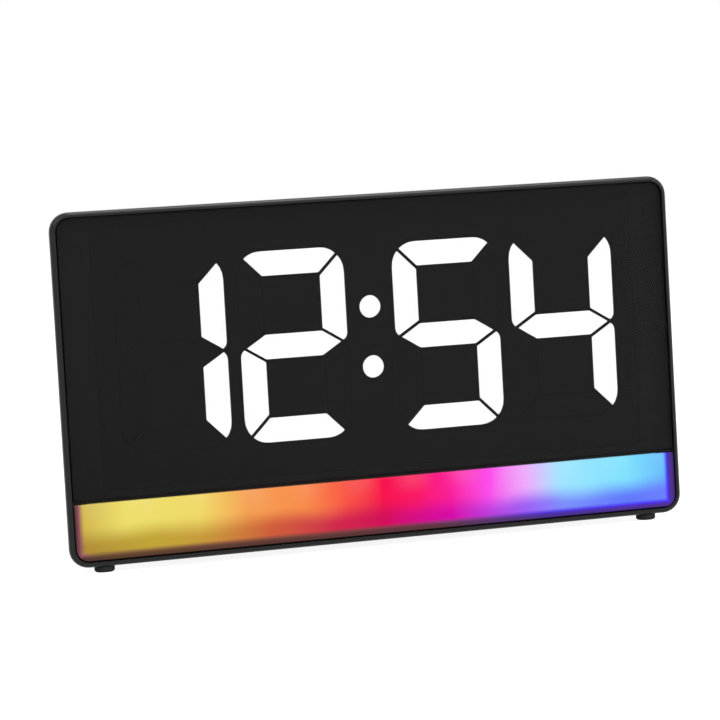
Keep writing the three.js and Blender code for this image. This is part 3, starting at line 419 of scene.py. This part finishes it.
def lit_share(finish, centre, letters):
    """1 on the segments that the letters name, of the digit with that centre, and 0 on the others."""
    x = finish.place("X") - centre
    z = finish.place("Z") - DIGIT_MIDDLE
    flank, rise = x.math("ABSOLUTE"), z.math("ABSOLUTE")
    is_cap = rise - flank > HALF_HEIGHT - HALF_WIDTH
    fall = (STROKE_HEIGHT + SEGMENT_GAP) / 2 / (STROKE_WIDTH - WAIST_INSET)
    is_waist = rise < (HALF_WIDTH - WAIST_INSET - flank) * fall
    is_side = (1 - is_cap) * (1 - is_waist)
    above, rightwards = z > 0, x > 0
    below, leftwards = 1 - above, 1 - rightwards
    segments = {
        "a": is_cap * above,
        "b": is_side * above * rightwards,
        "c": is_side * below * rightwards,
        "d": is_cap * below,
        "e": is_side * below * leftwards,
        "f": is_side * above * leftwards,
        "g": is_waist,
    }
    share = segments[letters[0]]
    for letter in letters[1:]:
        share = share.math("MAXIMUM", segments[letter])
    return share


def digit_opal(name, centre=None, letters=""):
    """A milky plastic whose plugs glow: all of them, or the segments that the letters name, while the others
    get painted shade.
    """
    finish = Finish(name, Roughness=0.75, Specular_IOR_Level=0.1, Emission_Strength=GLOW)
    base = MILK
    light = finish.blend(finish.grain(0.004, detail=2), (0.93, 0.93, 0.93), (1, 1, 1))
    if letters:
        share = lit_share(finish, centre, letters)
        base = finish.blend(share, UNLIT_PAINTED_SHADE, base)
        light = finish.blend(share, (0, 0, 0), light)
    finish.set(Base_Color=base, Emission_Color=light)
    return finish


for number, (centre, letters) in enumerate(zip(DIGIT_PLACES, LIT_SEGMENTS), start=1):
    dress(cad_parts[f"digit_diffuser_{number}"], digit_opal(f"digit_opal_{number}", centre, letters))
dress(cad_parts["colon_diffuser"], digit_opal("colon_opal"))


# Segment reflector: a white plastic block with a light well behind each segment, which keeps one
# segment's lamp out of the next. It is moulded with a fine satin skin.
reflector_white = Finish("reflector_white", Specular_IOR_Level=0.35)
skin = reflector_white.grain(0.0006, detail=3)
cloud = reflector_white.grain(0.025, detail=2)
reflector_white.set(
    Base_Color=reflector_white.blend(cloud, (0.76, 0.76, 0.73), (0.84, 0.84, 0.82)),
    Roughness=0.45 + 0.15 * skin,
)
reflector_white.bump(skin, 0.00002)
dress(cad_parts["segment_reflector"], reflector_white)


# Circuit boards: glass laminate under green solder mask. Copper runs show through it as a paler
# green, upright in some patches and level in others, and the tinned holes lie on a square grid.
TRACE_PITCH = 0.0021
TRACE_SHARE = 0.3
HOLE_PITCH = 0.0042
HOLE_SHARE = 0.13

board_green = Finish("board_green", Specular_IOR_Level=0.5)
weave = board_green.grain(0.0005, detail=2)
patch = board_green.grain(0.012, detail=1)


def stripe(value, pitch, share):
    """1 on evenly spaced stripes that take that share of the pitch."""
    return (value / pitch).math("FRACT") < share


board_x, board_z = board_green.place("X"), board_green.place("Z")
runs_up = stripe(board_x, TRACE_PITCH, TRACE_SHARE) * (patch > 0.5)
runs_across = stripe(board_z, TRACE_PITCH, TRACE_SHARE) * (patch < 0.42)
copper = runs_up.math("MAXIMUM", runs_across)
cell_x = (board_x / HOLE_PITCH).math("FRACT") - 0.5
cell_z = (board_z / HOLE_PITCH).math("FRACT") - 0.5
tinned = (distance(cell_x, cell_z) < HOLE_SHARE) * (board_green.grain(0.009, detail=0) > 0.56)
masked = board_green.blend(copper, (0.010, 0.070, 0.032), (0.022, 0.125, 0.055))
board_green.set(
    Base_Color=board_green.blend(tinned, masked, (0.62, 0.60, 0.55)),
    Roughness=0.34 + 0.12 * weave,
    Metallic=tinned,
)
board_green.bump(copper + 0.2 * weave, 0.00003)
for board in ("display_board", "light_strip_board", "main_board"):
    dress(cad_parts[board], board_green)


# Board screws: zinc-plated pan heads with a cross recess, driven through each board into its
# post. One is turned and cut, and the others are copies of it.
HEAD_SIDES = 32
HEAD_HEIGHT_SHARE = 0.52  # the shares are of the head's radius, but the dome's is of its height
SHANK_SHARE = 0.53
DOME_SHARE = 0.45
BLADE_LENGTH_SHARE = 1.05
BLADE_WIDTH_SHARE = 0.26
RECESS_DEPTH = 0.0005
TO_BACK = 1
TO_FRONT = -1


def pan_screw(name, node, towards):
    """A screw in the place of the CAD's. towards is the way its head faces."""
    low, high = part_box(node)
    middle = (low + high) / 2
    head_radius = (high.x - low.x) / 2
    head_height = head_radius * HEAD_HEIGHT_SHARE
    face = high.y if towards > 0 else low.y
    rest_all()
    bpy.ops.mesh.primitive_cylinder_add(
        vertices=HEAD_SIDES,
        radius=head_radius,
        depth=head_height,
        location=(middle.x, face - towards * head_height / 2, middle.z),
        rotation=(-towards * math.pi / 2, 0, 0),
    )
    piece = bpy.context.object
    piece.name = name
    bpy.ops.object.transform_apply(location=True, rotation=True, scale=True)
    mesh = piece.data
    bpy.ops.object.mode_set(mode="EDIT")
    bpy.ops.mesh.select_all(action="DESELECT")
    bpy.ops.mesh.select_mode(type="FACE")
    bpy.ops.object.mode_set(mode="OBJECT")
    for polygon in mesh.polygons:  # the head's underside
        polygon.select = polygon.normal.y * towards < -0.9
    bpy.ops.object.mode_set(mode="EDIT")
    bpy.ops.mesh.inset(thickness=head_radius - head_radius * SHANK_SHARE)
    length = (high.y - low.y) - head_height
    bpy.ops.mesh.extrude_region_move(TRANSFORM_OT_translate={"value": (0, -towards * length, 0)})
    bpy.ops.mesh.select_all(action="DESELECT")
    bpy.ops.object.mode_set(mode="OBJECT")
    for edge in mesh.edges:  # the rim of the head's face
        ends = [mesh.vertices[place].co.y for place in edge.vertices]
        edge.select = all(abs(end - face) < SAME_PLACE for end in ends)
    bpy.ops.object.mode_set(mode="EDIT")
    bpy.ops.mesh.select_mode(type="EDGE")
    bpy.ops.mesh.bevel(offset=head_height * DOME_SHARE, segments=4, affect="EDGES")
    bpy.ops.object.mode_set(mode="OBJECT")
    for turned in (0, math.pi / 2):
        rest_all()
        bpy.ops.mesh.primitive_cube_add(size=1, location=(middle.x, face, middle.z), rotation=(0, turned, 0))
        blade = bpy.context.object
        blade.scale = (head_radius * BLADE_LENGTH_SHARE, 2 * RECESS_DEPTH, head_radius * BLADE_WIDTH_SHARE)
        take_up(piece)
        recess = piece.modifiers.new("recess", "BOOLEAN")
        recess.operation = "DIFFERENCE"
        recess.solver = "EXACT"
        recess.object = blade
        bpy.ops.object.modifier_apply(modifier=recess.name)
        bpy.data.objects.remove(blade)
    bpy.ops.object.shade_smooth_by_angle(angle=EDGE_SHARP)
    return piece


def screw_copy(first, first_node, name, node):
    """A copy of a finished screw in the place of another like it."""
    piece = bpy.data.objects.new(name, first.data.copy())
    bpy.context.collection.objects.link(piece)
    piece.data.transform(Matrix.Translation(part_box(node)[0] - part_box(first_node)[0]))
    return piece


def screw_set(nodes, finish, slot, towards, body="clock"):
    """Screws that are alike, each in the place of a CAD one."""
    first = pan_screw(nodes[0] + "_head", nodes[0], towards)
    pieces = [first] + [screw_copy(first, nodes[0], node + "_head", node) for node in nodes[1:]]
    for node, piece in zip(nodes, pieces):
        dress(piece, finish, slot, body)
        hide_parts(node)


zinc = Finish("zinc_plate", Metallic=1.0)
brushing = zinc.grain(0.0003, detail=3, stretch=(1, 0.2, 1))
zinc.set(
    Base_Color=zinc.blend(zinc.grain(0.004), (0.52, 0.53, 0.55), (0.66, 0.66, 0.65)),
    Roughness=0.28 + 0.14 * brushing,
)
screw_set(["display_board_screw_1", "display_board_screw_2"], zinc, "plain_screw", TO_BACK)
screw_set([f"main_board_screw_{number}" for number in (1, 2, 3, 4)], zinc, "plain_screw", TO_FRONT)


# Light box: a white tray behind the light bar, whose middle drops into a trough. The lamp strip
# lies on the trough's floor, with six colour lamps in white square packages.
dress(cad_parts["light_box"], reflector_white)

LAMP_SPACING = 0.0241
LAMP_HEIGHT = 0.01265
WELL_RADIUS = 0.00198
WELL_RIM = -0.0105

lamp_white = Finish("lamp_white", Roughness=0.4)
package_grain = lamp_white.grain(0.0008)
off_x = ((lamp_white.place("X") / LAMP_SPACING).math("FRACT") - 0.5) * LAMP_SPACING
off_z = lamp_white.place("Z") - LAMP_HEIGHT
in_well = (distance(off_x, off_z) < WELL_RADIUS) * (lamp_white.place("Y") > WELL_RIM)
lamp_white.set(Base_Color=lamp_white.blend(
    in_well,
    lamp_white.blend(package_grain, (0.78, 0.78, 0.74), (0.86, 0.86, 0.83)),
    (0.82, 0.74, 0.42),
))
for number in range(1, 7):
    dress(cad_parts[f"mood_led_{number}"], lamp_white)


# Black moulded parts on the boards: the processor, the buzzer, the push switches and the coin
# cell's holder, all of black epoxy or nylon with a fine matt grain.
chip_black = Finish("chip_black", Specular_IOR_Level=0.4)
epoxy = chip_black.grain(0.0002, detail=4)
chip_black.set(
    Base_Color=chip_black.blend(chip_black.grain(0.006), (0.012, 0.012, 0.013), (0.022, 0.022, 0.023)),
    Roughness=0.5 + 0.2 * epoxy,
)
chip_black.bump(epoxy, 0.00002)
for node in ["processor", "snooze_switch"] + [f"button_switch_{number}" for number in range(1, 7)]:
    dress(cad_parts[node], chip_black)
for node, name in (("buzzer", "buzzer_can"), ("coin_cell_holder", "cell_tray")):
    piece = moulded(node, name, edge=0.00012)
    dress(piece, chip_black, "chip_black", "clock")
    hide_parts(node)


# Bright metal: the capacitor's can, the crystal's can, the power inlet's shell and the coin cell,
# drawn from nickel-plated sheet and left bright, with fine draw lines and a few dull patches.
nickel = Finish("nickel_plate", Metallic=1.0)
draw_lines = nickel.grain(0.0002, detail=3, stretch=(0.15, 1, 1))
tarnish = nickel.grain(0.005, detail=3)
nickel.set(
    Base_Color=nickel.blend(tarnish, (0.60, 0.60, 0.58), (0.74, 0.74, 0.73)),
    Roughness=0.2 + 0.16 * draw_lines + 0.08 * tarnish,
)
nickel.bump(draw_lines, 0.000006)
for node, name, edge in (
    ("capacitor", "capacitor_can", 0.0001),
    ("quartz_crystal", "crystal_can", 0.00015),
    ("power_socket", "power_inlet", 0.00005),
    ("coin_cell", "button_cell", 0.00012),
):
    piece = moulded(node, name, edge, sharp=math.radians(50))
    dress(piece, nickel, "bright_can", "clock")
    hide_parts(node)


# Ribbon cable: sixteen tinned wires side by side in grey insulation, soldered to each board and
# bowed between them. The first wire's edge is marked red.
RIBBON_SIDE = 0.03425
WIRE_PITCH = 0.001

ribbon_grey = Finish("ribbon_grey", Roughness=0.5, Specular_IOR_Level=0.35)
wire_x = (ribbon_grey.place("X") - RIBBON_SIDE) / WIRE_PITCH
ridge = (wire_x.math("FRACT") * math.pi).math("SINE")
first_wire = wire_x < 1
# painted shade and highlight: the grey is darker in the grooves between wires and paler on their tops
insulation_painted_shade = ribbon_grey.blend(ridge, (0.16, 0.16, 0.17), (0.36, 0.36, 0.37))
ribbon_grey.set(Base_Color=ribbon_grey.blend(first_wire, insulation_painted_shade, (0.45, 0.03, 0.03)))
ribbon_grey.bump(ridge, 0.0001)
dress(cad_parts["ribbon_cable"], ribbon_grey)


# Rear case: a black moulding with a spark-eroded skin, a shallow dish that closes the frame and a
# deep hump for the works. Its battery door is made to match.
case_black = Finish("case_black", Specular_IOR_Level=0.3)
pits = case_black.node("ShaderNodeTexVoronoi", {}, {"Vector": case_black.place(), "Scale": 1 / 0.00035})
flow = case_black.grain(0.03, detail=2)
case_black.set(
    Base_Color=case_black.blend(flow, linear("1d1d1e"), linear("252526")),
    Roughness=0.52 + 0.16 * pits,
)
case_black.bump(pits, 0.00004)
for node, name, body in (("rear_case", "case_shell", "clock"), ("battery_door", "door_lid", "battery_door")):
    piece = moulded(node, name, edge=0.00012)
    dress(piece, case_black, "case_plastic", body)
    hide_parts(node)


# Keys: six round buttons in the back and the long snooze bar on top, in a smoother black so that
# a finger finds them.
key_black = Finish("key_black", Specular_IOR_Level=0.4)
touch = key_black.grain(0.0015, detail=3)
key_black.set(
    Base_Color=key_black.blend(key_black.grain(0.008), linear("29292a"), linear("323233")),
    Roughness=0.36 + 0.12 * touch,
)
key_black.bump(key_black.grain(0.0003, detail=2), 0.00001)
snooze = moulded("snooze_bar", "snooze_key", edge=0.0002)
dress(snooze, key_black, "button_plastic", "snooze_bar")
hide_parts("snooze_bar")
for key in ("time", "alarm", "up", "down", "light", "dimmer"):
    node = key + "_button"
    piece = moulded(node, key + "_key", edge=0.0002)
    dress(piece, key_black, "button_plastic", node)
    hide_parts(node)


# Case screws: four of blackened steel, sunk in the case's rim, and a smaller one that holds the door. The
# four have tips painted near black and matt, as painted shade that hides their glint.
SHADED_TIP_LIMIT = -0.0155

oxide = Finish("black_oxide", Specular_IOR_Level=0.15)
oxide_grain = oxide.grain(0.0006, detail=3)
steel = oxide.blend(oxide_grain, (0.02, 0.02, 0.021), (0.045, 0.045, 0.048))
# painted shade: near black and matt over the screws' front tips
tip_painted_shade = oxide.place("Y") < SHADED_TIP_LIMIT
oxide.set(
    Base_Color=oxide.blend(tip_painted_shade, steel, (0.002, 0.002, 0.002)),
    Roughness=0.38 + 0.15 * oxide_grain + 0.4 * tip_painted_shade,
    Metallic=0.7 * (1 - tip_painted_shade),
)
screw_set([f"case_screw_{number}" for number in (1, 2, 3, 4)], oxide, "black_screw", TO_BACK)
screw_set(["battery_door_screw"], oxide, "black_screw", TO_BACK, "battery_door")


# Feet: four discs of soft black rubber, two under the frame and two under the case's legs. Each
# has a stem that is plugged into the plastic.
rubber = Finish("foot_rubber", Specular_IOR_Level=0.2)
bloom = rubber.grain(0.0008, detail=4)
rubber.set(
    Base_Color=rubber.blend(rubber.grain(0.003), (0.026, 0.026, 0.026), (0.036, 0.036, 0.035)),
    Roughness=0.75 + 0.15 * bloom,
)
rubber.bump(bloom, 0.00004)
for number in (1, 2, 3, 4):
    piece = moulded(f"foot_{number}", f"rubber_foot_{number}", edge=0.00015)
    dress(piece, rubber, "foot_rubber", "clock")
    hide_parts(f"foot_{number}")
